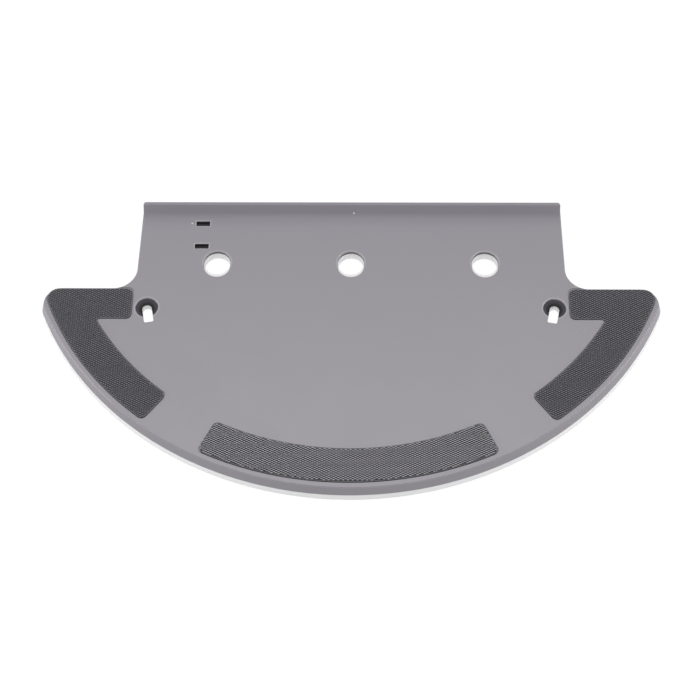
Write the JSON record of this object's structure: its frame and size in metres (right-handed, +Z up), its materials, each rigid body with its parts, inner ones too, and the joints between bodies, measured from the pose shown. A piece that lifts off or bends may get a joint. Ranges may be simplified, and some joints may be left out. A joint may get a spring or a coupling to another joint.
{
  "type": "robot vacuum mop plate",
  "caption": "Flat half-round mop plate with a straight tab: grey top shell on a white backing plate, dark hook pads for a cloth, through holes and slotted water outlets.",
  "frame": {"origin": "bottom centre of the plate's box, on the plane that the foot rim rests on", "axes": "+Z up, out of the cloth side; +X along the straight back edge; +Y towards that edge, with the round front at -Y"},
  "size_m": [0.298, 0.1586, 0.0138],
  "materials": {
    "grey_plastic": "fine satin moulded ABS, cool grey",
    "white_plastic": "satin moulded ABS, white",
    "hook_tape": "woven hook tape, dark grey",
    "seat_rubber": "matt moulded rubber, dark grey",
    "magnet": "dull sintered ferrite, near black"
  },
  "bodies": {
    "root": {"base_plate": "grey_plastic", "backing_plate": "white_plastic", "hook_pad_front": "hook_tape", "hook_pad_left": "hook_tape", "hook_pad_right": "hook_tape", "outlet_seat_left": "seat_rubber", "outlet_seat_right": "seat_rubber", "presence_magnet": "magnet"}
  },
  "joints": []
}
